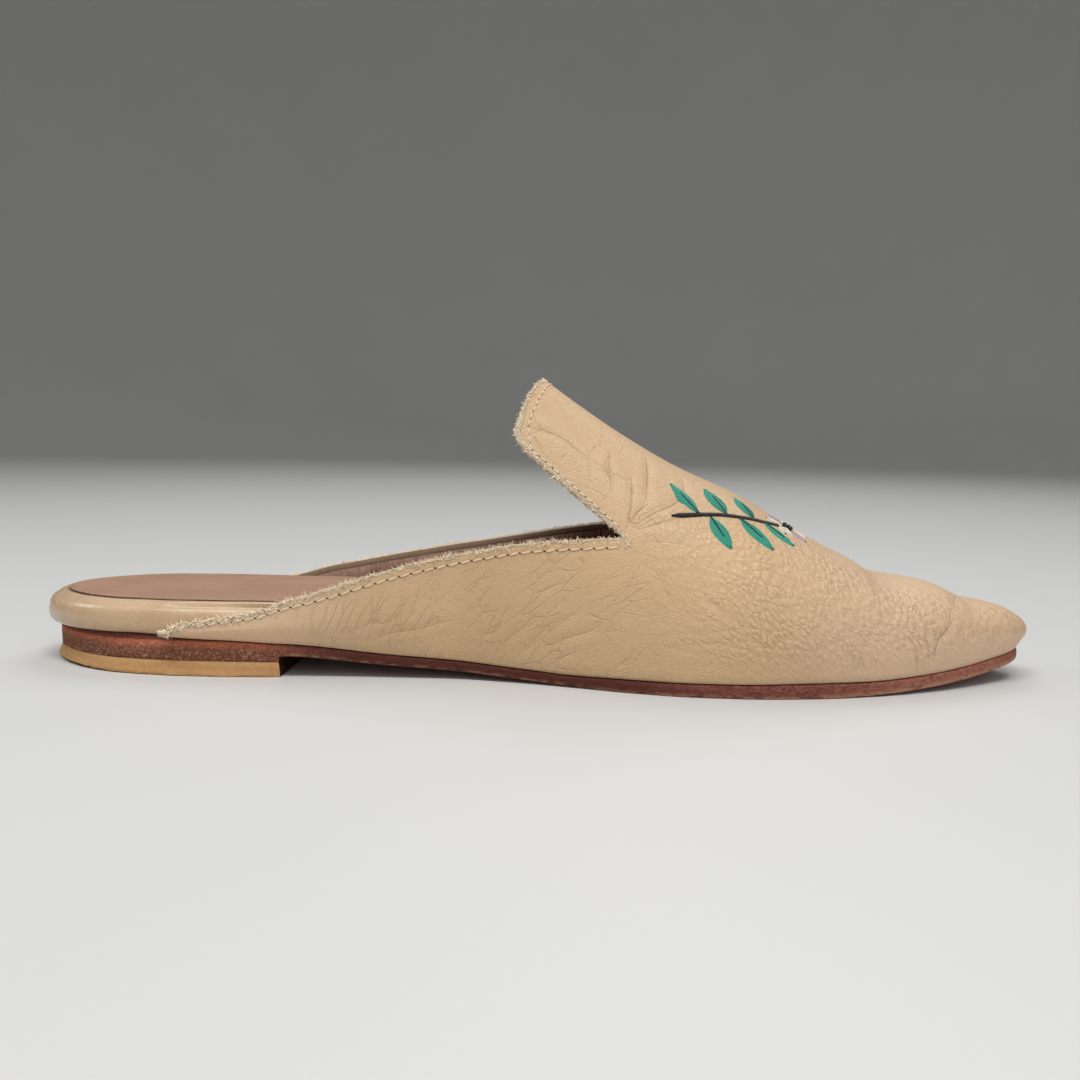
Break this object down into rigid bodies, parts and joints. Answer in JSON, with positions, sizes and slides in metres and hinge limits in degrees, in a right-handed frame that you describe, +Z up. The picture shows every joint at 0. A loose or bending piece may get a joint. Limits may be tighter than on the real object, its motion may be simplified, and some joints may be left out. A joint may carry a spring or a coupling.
{
  "type": "leather mule clog",
  "caption": "Backless pointed-toe leather clog with a tab over the instep, raw stitched edges, wrapped footbed, leather sole and a low heel.",
  "frame": {"origin": "middle of the shoe's box, on the floor it stands on", "axes": "+X towards the toe, +Z up, -Y to the medial (big-toe) side"},
  "size_m": [0.2642, 0.08, 0.0763],
  "materials": {
    "upper_leather": "pebbled tan leather with raw edges",
    "footbed_leather": "smooth tan leather wrapped over padding, slight gloss",
    "sock_leather": "dusty-pink smooth leather",
    "sole_leather": "reddish-brown sole leather with a fibrous cut edge",
    "stack_leather": "brown stacked leather, fibrous edge",
    "lift_rubber": "tan crepe rubber"
  },
  "bodies": {
    "root": {"upper": "upper_leather", "footbed": "footbed_leather", "insole_sock": "sock_leather", "outsole": "sole_leather", "heel_stack": "stack_leather", "heel_top_lift": "lift_rubber"}
  },
  "joints": []
}
